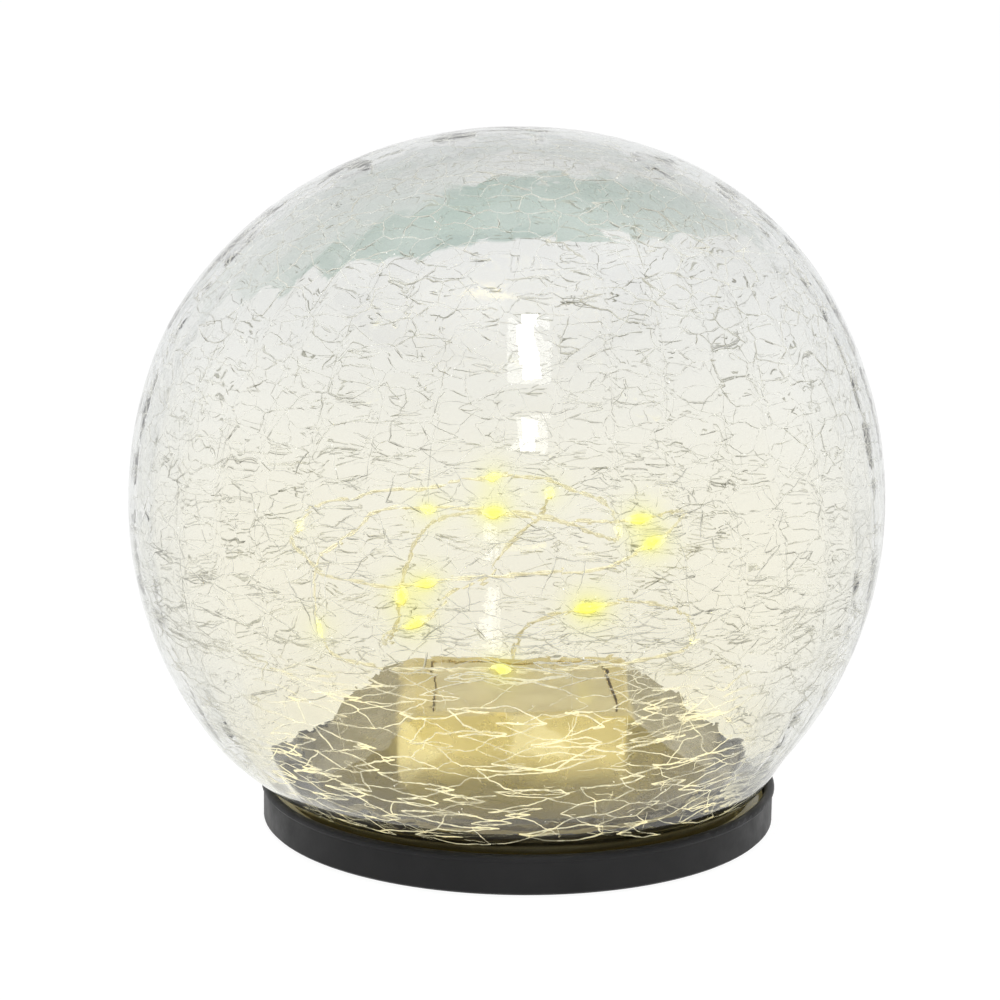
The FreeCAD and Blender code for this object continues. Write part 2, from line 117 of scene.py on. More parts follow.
class Mat:
    """A node material, built a node at a time."""

    def __init__(self, name):
        self.mat = bpy.data.materials.new(name)
        self.mat.use_nodes = True
        self.nt = self.mat.node_tree
        self.nt.nodes.clear()
        self.out = self.nt.nodes.new("ShaderNodeOutputMaterial")

    def node(self, kind, **values):
        n = self.nt.nodes.new(kind)
        for k, v in values.items():
            if k.startswith("_"):
                setattr(n, k[1:], v)
        for k, v in values.items():
            if not k.startswith("_"):
                n.inputs[k.replace("__", " ")].default_value = v
        return n

    def link(self, a, b):
        self.nt.links.new(a, b)
        return b

    def principled(self, **values):
        n = self.nt.nodes.new("ShaderNodeBsdfPrincipled")
        for k, v in values.items():
            n.inputs[k.replace("_", " ")].default_value = v
        self.link(n.outputs["BSDF"], self.out.inputs["Surface"])
        return n

    def coords(self):
        tc = self.nt.nodes.new("ShaderNodeTexCoord")
        return tc.outputs["Object"]

    def noise(self, scale, detail=4.0, rough=0.55, vector=None):
        n = self.nt.nodes.new("ShaderNodeTexNoise")
        n.inputs["Scale"].default_value = scale
        n.inputs["Detail"].default_value = detail
        n.inputs["Roughness"].default_value = rough
        self.link(vector or self.coords(), n.inputs["Vector"])
        return n

    def ramp(self, source, stops):
        r = self.nt.nodes.new("ShaderNodeValToRGB")
        els = r.color_ramp.elements
        while len(els) < len(stops):
            els.new(0.5)
        for e, (pos, col) in zip(els, stops):
            e.position = pos
            e.color = (*col, 1.0) if len(col) == 3 else col
        self.link(source, r.inputs["Fac"])
        return r

    def remap(self, source, lo, hi, to_lo, to_hi, smooth=False):
        m = self.nt.nodes.new("ShaderNodeMapRange")
        m.interpolation_type = "SMOOTHSTEP" if smooth else "LINEAR"
        for k, v in zip(("From Min", "From Max", "To Min", "To Max"), (lo, hi, to_lo, to_hi)):
            m.inputs[k].default_value = v
        self.link(source, m.inputs["Value"])
        return m.outputs["Result"]

    def bump(self, height, strength, distance):
        b = self.nt.nodes.new("ShaderNodeBump")
        b.inputs["Strength"].default_value = strength
        b.inputs["Distance"].default_value = distance
        self.link(height, b.inputs["Height"])
        return b

    def math(self, op, a, b=None):
        m = self.nt.nodes.new("ShaderNodeMath")
        m.operation = op
        for i, v in enumerate((a, b)):
            if v is None:
                continue
            if isinstance(v, (int, float)):
                m.inputs[i].default_value = v
            else:
                self.link(v, m.inputs[i])
        return m.outputs[0]

    def mix_rgb(self, fac, a, b, mode="MIX"):
        m = self.nt.nodes.new("ShaderNodeMix")
        m.data_type = "RGBA"
        m.blend_type = mode
        for sock, v in ((m.inputs[0], fac), (m.inputs[6], a), (m.inputs[7], b)):
            if isinstance(v, (int, float)):
                sock.default_value = v
            elif isinstance(v, tuple):
                sock.default_value = (*v, 1.0) if len(v) == 3 else v
            else:
                self.link(v, sock)
        return m.outputs[2]


def plastic(name, dark, light, rough=(0.3, 0.45), grain=900.0, depth=0.00004, scale=40.0, coat=0.0, gloss=None):
    """Moulded plastic: slight tone drift, fine grain, uneven sheen."""
    m = Mat(name)
    p = m.principled()
    n = m.noise(scale, 5.0)
    r = m.ramp(n.outputs["Fac"], [(0.35, dark), (0.65, light)])
    m.link(r.outputs["Color"], p.inputs["Base Color"])
    n2 = m.noise(scale * 3.1, 6.0, 0.65)
    m.link(m.remap(n2.outputs["Fac"], 0.35, 0.65, *rough), p.inputs["Roughness"])
    n3 = m.noise(grain, 3.0, 0.6)
    b = m.bump(n3.outputs["Fac"], 0.5, depth)
    m.link(b.outputs["Normal"], p.inputs["Normal"])
    if gloss is not None:
        p.inputs["Specular IOR Level"].default_value = gloss
    if coat:
        p.inputs["Coat Weight"].default_value = coat
        p.inputs["Coat Roughness"].default_value = 0.2
    return m.mat


def metal(name, dark, light, rough=(0.2, 0.4), scale=250.0):
    m = Mat(name)
    p = m.principled(Metallic=1.0)
    n = m.noise(scale, 4.0)
    r = m.ramp(n.outputs["Fac"], [(0.3, dark), (0.7, light)])
    m.link(r.outputs["Color"], p.inputs["Base Color"])
    m.link(m.remap(n.outputs["Fac"], 0.3, 0.7, *rough), p.inputs["Roughness"])
    b = m.bump(m.noise(scale * 6, 2.0).outputs["Fac"], 0.3, 0.00002)
    m.link(b.outputs["Normal"], p.inputs["Normal"])
    return m.mat


# ------------------------------------------------------------------ lamp string
ROUTE = [
    (0.0, 0.0335, 0.0222),
    (0.0, 0.0335, 0.0297),
    (0.0054, 0.0258, 0.0347),
    (0.0245, 0.029, 0.0384),
    (0.0396, 0.01, 0.0384),
    (0.0313, -0.0091, 0.0357),
    (0.0057, -0.0108, 0.0331),
    (-0.0141, -0.0052, 0.0319),
    (-0.0366, -0.0035, 0.0312),
    (-0.0455, 0.0097, 0.0443),
    (-0.0296, 0.0253, 0.0593),
    (-0.0091, 0.0295, 0.0567),
    (0.016, 0.0295, 0.0532),
    (0.034, 0.0201, 0.0592),
    (0.0335, -0.0039, 0.0642),
    (0.0184, -0.0156, 0.0551),
    (-0.0077, -0.0239, 0.0561),
    (-0.0287, -0.0264, 0.0531),
    (-0.0481, -0.0093, 0.0573),
    (-0.043, 0.0106, 0.0622),
    (-0.0167, 0.0183, 0.0647),
    (0.0051, 0.0192, 0.067),
    (0.0188, -0.0034, 0.0643),
    (0.0196, -0.0247, 0.0615),
    (0.0049, -0.0414, 0.0729),
    (-0.0153, -0.0387, 0.0716),
    (-0.0227, -0.0206, 0.0601),
    (-0.0237, -0.0156, 0.0401),
    (-0.0287, 0.0056, 0.0349),
    (-0.0144, 0.0198, 0.0382),
    (0.0038, 0.0149, 0.0578),
    (0.0048, 0.0076, 0.0654),
]
curve = bpy.data.curves.new("route", "CURVE")
curve.dimensions = "3D"
curve.resolution_u = 16
spline = curve.splines.new("NURBS")
spline.points.add(len(ROUTE) - 1)
for pt, co in zip(spline.points, ROUTE):
    pt.co = (*co, 1.0)
spline.order_u = 3
spline.use_endpoint_u = True
guide = bpy.data.objects.new("route", curve)
scene.collection.objects.link(guide)
bpy.context.view_layer.update()
line_mesh = bpy.data.meshes.new_from_object(guide)
line = np.array([v.co for v in line_mesh.vertices], float)
bpy.data.meshes.remove(line_mesh)
bpy.data.objects.remove(guide)


def resample(points, step):
    d = np.linalg.norm(np.diff(points, axis=0), axis=1)
    keep = np.concatenate([[True], d > 1e-9])
    points = points[keep]
    s = np.concatenate([[0], np.cumsum(np.linalg.norm(np.diff(points, axis=0), axis=1))])
    n = max(2, int(round(s[-1] / step)) + 1)
    t = np.linspace(0, s[-1], n)
    return np.stack([np.interp(t, s, points[:, k]) for k in range(3)], 1), s[-1]


line, string_length = resample(line, 0.0005)


def frames(points):
    """Tangent and two side directions along a line, without twist."""
    t = np.gradient(points, axis=0)
    t /= np.linalg.norm(t, axis=1)[:, None]
    u = np.zeros_like(t)
    first = np.cross(t[0], (0.3, 0.2, 0.93))
    u[0] = first / np.linalg.norm(first)
    for i in range(1, len(t)):
        v = u[i - 1] - t[i] * np.dot(u[i - 1], t[i])
        u[i] = v / np.linalg.norm(v)
    return t, u, np.cross(t, u)


def tube(points, radius, sides=8, cap=True, base=0):
    t, u, w = frames(points)
    a = np.arange(sides) / sides * 2 * np.pi
    ring = u[:, None, :] * np.cos(a)[None, :, None] + w[:, None, :] * np.sin(a)[None, :, None]
    rad = np.broadcast_to(np.asarray(radius, float), (len(points),))
    verts = (points[:, None, :] + ring * rad[:, None, None]).reshape(-1, 3)
    i = np.arange(len(points) - 1)[:, None] * sides
    j = np.arange(sides)[None, :]
    k = (j + 1) % sides
    quads = np.stack([i + j, i + k, i + sides + k, i + sides + j], -1).reshape(-1, 4)
    tris = []
    if cap:
        n = len(verts)
        verts = np.concatenate([verts, points[:1], points[-1:]])
        last = (len(points) - 1) * sides
        for j in range(sides):
            tris.append((n, (j + 1) % sides, j))
            tris.append((n + 1, last + j, last + (j + 1) % sides))
    return verts, quads + base, (np.array(tris, int).reshape(-1, 3) + base)


t_line, u_line, w_line = frames(line)
s_line = np.arange(len(line)) * 0.0005
phase = 2 * np.pi * (s_line / 0.0085 + 0.35 * np.sin(s_line / 0.021) + 0.2 * np.sin(s_line / 0.0077 + 1.0))
apart = 0.00023
V_all, Q_all, T_all = [], [], []
base = 0
for k in (0, 1):
    ph = phase + k * np.pi
    strand = line + apart * (u_line * np.cos(ph)[:, None] + w_line * np.sin(ph)[:, None])
    v, q, t = tube(strand, 0.0002, 8, True, base)
    V_all.append(v); Q_all.append(q); T_all.append(t)
    base += len(v)

m = Mat("lacquered_wire")
p = m.principled(Metallic=0.12, IOR=1.5)
n = m.noise(600.0, 3.0)
r = m.ramp(n.outputs["Fac"], [(0.3, (0.66, 0.61, 0.42)), (0.7, (0.84, 0.80, 0.62))])
# painted light: the wire's own colour also glows, to lighten it
m.link(r.outputs["Color"], p.inputs["Emission Color"])
p.inputs["Emission Strength"].default_value = 0.20
m.link(r.outputs["Color"], p.inputs["Base Color"])
m.link(m.remap(n.outputs["Fac"], 0.3, 0.7, 0.22, 0.4), p.inputs["Roughness"])
p.inputs["Coat Weight"].default_value = 0.4
mat_wire = m.mat

string_me = quick_mesh("light_string_wires", np.concatenate(V_all), np.concatenate(Q_all), np.concatenate(T_all))
string_ob = link("string_wires", string_me, "lamp", [mat_wire])
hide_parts("light_string")

# the drops: a clear bead round a tiny lamp chip, its skirts running out along the wire
BEAD_PROFILE = [(-2.6, 0.42), (-2.35, 0.50), (-2.0, 0.62), (-1.65, 0.82), (-1.25, 1.02), (-0.8, 1.14), (-0.3, 1.19),
                (0.2, 1.19), (0.7, 1.12), (1.15, 0.98), (1.55, 0.78), (1.9, 0.60), (2.25, 0.49), (2.5, 0.42)]
lamps = []
for i in range(2, len(ROUTE) - 3, 2):
    a, b = np.array(ROUTE[i]), np.array(ROUTE[i + 1])
    lamps.append(((a + b) / 2, (b - a) / np.linalg.norm(b - a)))
end_dir = np.array(ROUTE[-1]) - np.array(ROUTE[-2])
lamps.append((np.array(ROUTE[-1]), end_dir / np.linalg.norm(end_dir)))
rng = np.random.default_rng(11)
V_all, Q_all, T_all, base = [], [], [], 0
C_all, CF_all, cbase = [], [], 0
for k, (c, d) in enumerate(lamps):
    last = k == len(lamps) - 1
    prof = list(BEAD_PROFILE)
    if last:
        prof = [q for q in prof if q[0] < 1.2] + [(1.45, 0.7), (1.6, 0.35), (1.64, 0.05)]
    size = 1.0 + 0.08 * rng.normal()
    pts = np.array([c + d * x * 0.001 for x, _ in prof])
    rad = np.array([y * 0.001 * size for _, y in prof])
    side = np.cross(d, (0, 0, 1.0)); side /= np.linalg.norm(side)
    up = np.cross(side, d)
    a = np.arange(16) / 16 * 2 * np.pi
    lob = 1 + 0.05 * np.cos(a + rng.uniform(0, 6))
    ring = (side[None, None] * np.cos(a)[None, :, None] + up[None, None] * np.sin(a)[None, :, None]) * lob[None, :, None]
    sag = np.array([-0.12e-3 * max(0.0, 1 - (x / 2.2) ** 2) for x, _ in prof])
    v = (pts[:, None] + ring * rad[:, None, None]) + (np.array([0, 0, 1.0])[None, None] * sag[:, None, None])
    v = v.reshape(-1, 3)
    i = np.arange(len(pts) - 1)[:, None] * 16
    j = np.arange(16)[None]
    q = np.stack([i + j, i + (j + 1) % 16, i + 16 + (j + 1) % 16, i + 16 + j], -1).reshape(-1, 4)
    n0 = len(v)
    v = np.concatenate([v, [pts[0] + [0, 0, sag[0]]], [pts[-1] + [0, 0, sag[-1]]]])
    t = [(n0, (j + 1) % 16, j) for j in range(16)] + [(n0 + 1, (len(pts) - 1) * 16 + j, (len(pts) - 1) * 16 + (j + 1) % 16) for j in range(16)]
    V_all.append(v); Q_all.append(q + base); T_all.append(np.array(t) + base)
    base += len(v)
    # chip: a small bevelled slab on the wires
    hx, hy, hz = 0.00062, 0.00045, 0.00026
    turn = rng.uniform(0, 2 * np.pi)
    e2 = side * math.cos(turn) + up * math.sin(turn)
    e3 = np.cross(d, e2)
    cv = []
    for z, s in ((-1.0, 0.86), (-0.7, 1.0), (0.7, 1.0), (1.0, 0.86)):
        for x, y in ((-1, -0.8), (-0.8, -1), (0.8, -1), (1, -0.8), (1, 0.8), (0.8, 1), (-0.8, 1), (-1, 0.8)):
            cv.append(c + d * x * hx * s + e2 * y * hy * s + e3 * (z * hz + 0.0003))
    cf = []
    for z in range(3):
        for j in range(8):
            cf.append((cbase + z * 8 + j, cbase + z * 8 + (j + 1) % 8, cbase + z * 8 + 8 + (j + 1) % 8, cbase + z * 8 + 8 + j))
    cf.append(tuple(cbase + j for j in range(7, -1, -1)))
    cf.append(tuple(cbase + 24 + j for j in range(8)))
    C_all.append(np.array(cv)); CF_all += cf
    cbase += len(cv)

m = Mat("lamp_drop")
p = m.principled(Roughness=0.12, IOR=1.5)
n = m.noise(900.0, 2.0)
r = m.ramp(n.outputs["Fac"], [(0.3, (0.99, 0.93, 0.55)), (0.7, (1.0, 0.96, 0.72))])
m.link(r.outputs["Color"], p.inputs["Base Color"])
p.inputs["Transmission Weight"].default_value = 0.70
edge = m.node("ShaderNodeLayerWeight", Blend=0.5)
core = m.remap(edge.outputs["Facing"], 0.12, 0.62, 1, 0, True)
m.link(m.mix_rgb(core, (0.95, 0.91, 0.60), (1.0, 0.93, 0.26)), p.inputs["Emission Color"])
m.link(m.remap(core, 0, 1, 0.22, 0.98), p.inputs["Emission Strength"])
mat_drop = m.mat
mat_drop.cycles.emission_sampling = "NONE"
m = Mat("lamp_chip")
p = m.principled(Roughness=0.4)
n = m.noise(2500.0, 2.0)
r = m.ramp(n.outputs["Fac"], [(0.3, (0.95, 0.75, 0.2)), (0.7, (1.0, 0.85, 0.35))])
m.link(r.outputs["Color"], p.inputs["Base Color"])
p.inputs["Emission Color"].default_value = (1.0, 0.90, 0.20, 1.0)
p.inputs["Emission Strength"].default_value = 1.9
mat_chip = m.mat
mat_chip.cycles.emission_sampling = "NONE"
drops = link("led_drops", quick_mesh("led_drops", np.concatenate(V_all), np.concatenate(Q_all), np.concatenate(T_all)), "lamp", [mat_drop])
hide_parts("led_beads")
chips = link("led_chips", mesh_from("led_chips", np.concatenate(C_all), CF_all, smooth=False), "lamp", [mat_chip])

# ------------------------------------------------------------------ the blown ball
ZC = 0.065
FLUTE_H = 0.00011


def smooth(x, a, b):
    t = np.clip((x - a) / (b - a), 0, 1)
    return t * t * (3 - 2 * t)


def rho(d):
    """Distance of the glass skin from the middle of the ball in each direction: fuller at the shoulders, drawn in below."""
    se = d[..., 2]
    ce = np.sqrt(np.maximum(1 - se * se, 0))
    pw = 2.05 + 0.065 * np.tanh(4 * se)
    r = ((ce / 0.075) ** pw + (np.abs(se) / np.where(se > 0, 0.0744, 0.0752)) ** pw) ** (-1 / pw)
    az = np.arctan2(d[..., 1], d[..., 0])
    ripple = (np.sin(3 * az + 2.1 * se) * 0.5 + np.sin(5 * az - 3.7 * se + 1.2) * 0.3 + np.sin(2 * az + 6.5 * se + 0.4) * 0.5)
    return r + 0.00009 * ripple * smooth(se, -0.74, -0.55)


FLUTE = 9.0              # degrees between the upright creases left by the mould


def crease(d):
    """Place across the flute, -1 to 1 with a crease at both ends, and the flute's own number."""
    az = np.degrees(np.arctan2(d[..., 1], d[..., 0])) + 1.6 * np.sin(2.6 * d[..., 2] + 0.5) + 0.5 * np.sin(7 * d[..., 2])
    k = np.floor(az / FLUTE)
    return (az / FLUTE - k) * 2 - 1, k % 40


def flutes(d):
    """Height of the flutes on the inner skin: flatter than the round, with a crease between each two."""
    u, k = crease(d)
    own = 0.55 + 0.9 * ((np.sin(k * 12.9898 + 4.1) * 43758.5453) % 1.0)
    se = d[..., 2]
    return own * u * u * smooth(se, 0.93, 0.55) * smooth(se, -0.74, -0.60)


def lean(z):
    """The blown ball sits a little to one side of its own neck."""
    return -0.0029 * smooth(z, 0.006, 0.019) + 0.0022 * smooth(z, 0.095, 0.141)


def skin(d, depth, inner=False):
    """Point of the glass at a depth under its outer skin."""
    r = rho(d) - np.asarray(depth)
    if inner:
        r = r + FLUTE_H * flutes(d)
    p = d * r[..., None]
    p[..., 2] += ZC
    p[..., 0] += lean(p[..., 2])
    return p


def profile(depth):
    e = np.radians(np.concatenate([np.linspace(90, -40, 118), np.linspace(-41, -60, 30)]))
    d = np.stack([np.cos(e), 0 * e, np.sin(e)], 1)
    r = rho(d) - depth
    return np.stack([r * np.cos(e), r * np.sin(e) + ZC], 1)


SEG = 320
WALL = 0.0024
po = profile(0.0)
po = po[(po[:, 1] > 0.0095)]
pi_ = profile(WALL)
pi_ = pi_[(pi_[:, 1] > 0.0110)]
neck = np.array([(47.75, 8.4), (47.38, 7.5), (47.22, 6.6), (47.2, 5.4), (47.15, 4.55), (46.85, 4.27), (46.2, 4.22), (45.6, 4.22),
                 (45.05, 4.3), (44.84, 4.6), (44.82, 5.8), (44.95, 7.2), (45.4, 8.6), (46.2, 9.8)]) * 0.001
prof = np.concatenate([po[1:], neck, pi_[::-1][:-1]])
a = np.arange(SEG) / SEG * 2 * np.pi
rr = prof[:, 0][:, None]
zz = np.repeat(prof[:, 1][:, None], SEG, 1)
X, Y = rr * np.cos(a)[None], rr * np.sin(a)[None]
n_out = len(po) - 1
n_in0 = n_out + len(neck)
P = np.stack([X, Y, zz], -1)
# ripple and lean from the same skin as the cracks use
for lo, hi, depth in ((0, n_out, 0.0), (n_in0, len(prof), WALL)):
    d = P[lo:hi] - np.array([0, 0, ZC])
    d = d / np.linalg.norm(d, axis=-1)[..., None]
    P[lo:hi] = skin(d, depth, depth > 0)
verts = P.reshape(-1, 3)
rows = len(prof)
i = np.arange(rows - 1)[:, None] * SEG
j = np.arange(SEG)[None]
quads = np.stack([i + j, i + SEG + j, i + SEG + (j + 1) % SEG, i + (j + 1) % SEG], -1).reshape(-1, 4)
top = skin(np.array([[0, 0, 1.0]]), 0.0)[0]
low = skin(np.array([[0, 0, 1.0]]), WALL, True)[0]
nv = len(verts)
verts = np.concatenate([verts, [top], [low]])
tris = [(nv, j, (j + 1) % SEG) for j in range(SEG)] + [(nv + 1, (rows - 1) * SEG + (j + 1) % SEG, (rows - 1) * SEG + j) for j in range(SEG)]

WHITE_TINT = (0.947, 0.950, 0.940)
# painted lamp light: a warm tint that stands in for the glow of the lamps inside the ball
PAINTED_LAMP_GLOW_TINT = (0.962, 0.940, 0.846)
GREEN_TINT = (0.500, 0.612, 0.560)
# painted warm light: a beige tint that stands in for the gold module's light near the neck
PAINTED_NECK_GLOW_TINT = (0.950, 0.915, 0.775)
# painted shade: the grey-blue tints by which the glass darkens towards its edge
PAINTED_SIDE_SHADE = (0.850, 0.860, 0.862)
PAINTED_RIM_SHADE = (0.672, 0.708, 0.722)

m = Mat("crackle_glass")
glass = m.nt.nodes.new("ShaderNodeBsdfPrincipled")
glass.inputs["Roughness"].default_value = 0.0
glass.inputs["IOR"].default_value = 1.46
glass.inputs["Transmission Weight"].default_value = 1.0
co = m.coords()
sep = m.node("ShaderNodeSeparateXYZ")
m.link(co, sep.inputs[0])
wob = m.noise(38.0, 3.0, 0.6)
# green, thicker glass in a band high on the far side
zz_ = m.math("ADD", sep.outputs["Z"], m.math("MULTIPLY", m.math("SUBTRACT", wob.outputs["Fac"], 0.5), 0.014))
lower = m.math("SUBTRACT", zz_, m.math("MULTIPLY", sep.outputs["X"], 0.115))
xx = m.math("MULTIPLY", sep.outputs["X"], sep.outputs["X"])
upper = m.math("ADD", m.math("SUBTRACT", zz_, m.math("MULTIPLY", sep.outputs["X"], 0.17)), m.math("MULTIPLY", xx, 4.6))
above = m.remap(lower, 0.1088, 0.1102, 0, 1, True)
back = m.remap(sep.outputs["Y"], 0.004, 0.014, 0, 1, True)
patch = m.noise(24.0, 4.0, 0.6)
mask = m.math("MULTIPLY", m.math("MULTIPLY", above, m.remap(upper, 0.1245, 0.1295, 1, 0, True)), back)
mask = m.math("MULTIPLY", mask, m.remap(patch.outputs["Fac"], 0.34, 0.60, 0.66, 1.0))
wash = m.math("MULTIPLY", m.math("MULTIPLY", above, m.remap(upper, 0.127, 0.146, 1, 0, True)), m.math("MULTIPLY", back, m.remap(sep.outputs["X"], 0.0, -0.03, 0, 0.42, True)))
mask = m.math("MULTIPLY", m.math("MAXIMUM", mask, wash), m.remap(sep.outputs["X"], 0.012, 0.042, 1.0, 0.5, True))
# painted lamp light: the glass is tinted warm, most below the middle of the ball and least towards its edges
painted_lamp_glow = m.math("MULTIPLY", m.remap(sep.outputs["Z"], 0.112, 0.046, 0, 1, True), m.remap(sep.outputs["Z"], 0.010, 0.030, 0.6, 1, True))
facing = m.node("ShaderNodeLayerWeight", Blend=0.5)
painted_lamp_glow = m.math("MULTIPLY", painted_lamp_glow, m.remap(facing.outputs["Facing"], 0.15, 0.75, 1.0, 0.0, True))
tint = m.mix_rgb(painted_lamp_glow, WHITE_TINT, PAINTED_LAMP_GLOW_TINT)
# painted warm light: the glass low by the neck is tinted beige
tint = m.mix_rgb(m.remap(sep.outputs["Z"], 0.024, 0.012, 0, 1, True), tint, PAINTED_NECK_GLOW_TINT)
tint = m.mix_rgb(mask, tint, GREEN_TINT)
# painted shade: the glass darkens to grey-blue towards its side and rim
tint = m.mix_rgb(m.remap(facing.outputs["Facing"], 0.36, 0.74, 0, 1, True), tint, m.mix_rgb(0.5, tint, PAINTED_SIDE_SHADE, "MULTIPLY"))
tint = m.mix_rgb(m.remap(facing.outputs["Facing"], 0.70, 0.93, 0, 1, True), tint, m.mix_rgb(1.0, tint, PAINTED_RIM_SHADE, "MULTIPLY"))
m.link(tint, glass.inputs["Base Color"])
# each cell between cracks leans a little its own way
squash = m.node("ShaderNodeVectorMath", _operation="MULTIPLY")
m.link(m.mix_rgb(0.010, co, m.noise(60.0, 3.0).outputs["Color"]), squash.inputs[0])
squash.inputs[1].default_value = (1.0, 1.0, 2.4)
cells = m.node("ShaderNodeTexVoronoi")
cells.inputs["Scale"].default_value = 120.0
m.link(squash.outputs[0], cells.inputs["Vector"])
tilt = m.node("ShaderNodeVectorMath", _operation="SUBTRACT")
m.link(cells.outputs["Color"], tilt.inputs[0])
tilt.inputs[1].default_value = (0.5, 0.5, 0.5)
amount = m.node("ShaderNodeVectorMath", _operation="SCALE")
m.link(tilt.outputs[0], amount.inputs[0])
amount.inputs["Scale"].default_value = 0.022
bump = m.bump(m.noise(55.0, 2.0, 0.5).outputs["Fac"], 0.5, 0.00035)
lean_n = m.node("ShaderNodeVectorMath", _operation="ADD")
m.link(bump.outputs["Normal"], lean_n.inputs[0])
m.link(amount.outputs[0], lean_n.inputs[1])
unit_n = m.node("ShaderNodeVectorMath", _operation="NORMALIZE")
m.link(lean_n.outputs[0], unit_n.inputs[0])
m.link(unit_n.outputs[0], glass.inputs["Normal"])
clear = m.node("ShaderNodeBsdfTransparent")
clear.inputs["Color"].default_value = (0.97, 0.975, 0.965, 1)
lp = m.node("ShaderNodeLightPath")
mix = m.node("ShaderNodeMixShader")
m.link(lp.outputs["Is Shadow Ray"], mix.inputs["Fac"])
m.link(glass.outputs["BSDF"], mix.inputs[1])
m.link(clear.outputs["BSDF"], mix.inputs[2])
m.link(mix.outputs["Shader"], m.out.inputs["Surface"])
vol = m.node("ShaderNodeVolumeAbsorption")
vol.inputs["Color"].default_value = (0.0, 0.07, 0.06, 1.0)
vol.inputs["Density"].default_value = 11.0
m.link(vol.outputs["Volume"], m.out.inputs["Volume"])
mat_glass = m.mat

globe = link("globe_shell", quick_mesh("globe_shell", verts, quads, tris), "lamp", [mat_glass])
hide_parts("glass_globe")


# ------------------------------------------------------------------ the cracks in its wall
def hull_faces(points):
    """Triangles of the convex hull of points."""
    bm = bmesh.new()
    vs = [bm.verts.new(p) for p in points]
    for k, v in enumerate(vs):
        v.index = k
    bmesh.ops.convex_hull(bm, input=vs, use_existing_faces=False)
    tri = [tuple(v.index for v in f.verts) for f in bm.faces if len(f.verts) == 3]
    bm.free()
    return np.array(tri, int)


def unit(v):
    return v / np.maximum(np.linalg.norm(v, axis=-1, keepdims=True), 1e-12)


def ladder(d):
    """Strength of the upright bundles of finer cracks, by direction: they follow the creases."""
    u, k = crease(d)
    near = np.where(u > 0, k + 1, k) % 40
    own = (np.sin(near * 78.233 + 1.7) * 12543.12) % 1.0
    return np.exp(-((1 - np.abs(u)) / 0.24) ** 2) * (0.12 + 0.88 * own)


def crack_net(count, stretch, seed, weight, relax=1):
    """Voronoi edges on the ball, in a metric that makes the cells wide and low; stretch is (above, below) the middle."""
    rng = np.random.default_rng(seed)
    pts = np.zeros((0, 3))
    while len(pts) < count:
        c = unit(rng.normal(size=(count * 2, 3)))
        c = c[(c[:, 2] > -0.80)]
        w = weight(c)
        pts = np.concatenate([pts, c[rng.random(len(c)) < w / 3.0]])
    pts = pts[:count]

    def widen(p, back=False):
        k = np.where(p[:, 2] > 0, stretch[0], stretch[1])
        return np.stack([p[:, 0], p[:, 1], p[:, 2] / k if back else p[:, 2] * k], 1)

    for step in range(relax + 1):
        q = widen(pts)
        tri = hull_faces(q)
        A, B, C = q[tri[:, 0]], q[tri[:, 1]], q[tri[:, 2]]
        ab, ac = B - A, C - A
        nrm = np.cross(ab, ac)
        den = 2 * (nrm ** 2).sum(1, keepdims=True)
        cc = A + (np.cross(nrm, ab) * (ac ** 2).sum(1, keepdims=True) + np.cross(ac, nrm) * (ab ** 2).sum(1, keepdims=True)) / np.maximum(den, 1e-18)
        cc = unit(widen(cc, True))
        sgn = np.sign((cc * unit(widen(A + B + C, True))).sum(1))
        cc *= sgn[:, None]
        if step < relax:
            acc, cnt = np.zeros_like(pts), np.zeros(len(pts))
            for k in range(3):
                np.add.at(acc, tri[:, k], cc)
                np.add.at(cnt, tri[:, k], 1)
            moved = unit(acc / np.maximum(cnt, 1)[:, None])
            pts = unit(0.45 * pts + 0.55 * moved)
    owner = {}
    pairs = []
    for f, t in enumerate(tri):
        for k in range(3):
            e = (min(t[k], t[(k + 1) % 3]), max(t[k], t[(k + 1) % 3]))
            if e in owner:
                pairs.append((owner[e], f))
            else:
                owner[e] = f
    return cc, np.array(pairs, int)


def wander(a, b, rng, amp, shortest):
    """A broken, slightly wavy line between two directions."""
    pts = [a, b]
    level = amp
    while np.linalg.norm(pts[1] - pts[0]) * 0.075 > shortest and len(pts) < 40:
        out = [pts[0]]
        for p, q in zip(pts[:-1], pts[1:]):
            mid = (p + q) / 2
            side = np.cross(mid, q - p)
            out.append(unit(mid + side * level * rng.normal() + (q - p) * 0.06 * rng.normal()))
            out.append(q)
        pts = out
        level *= 0.8
    return np.array(pts)


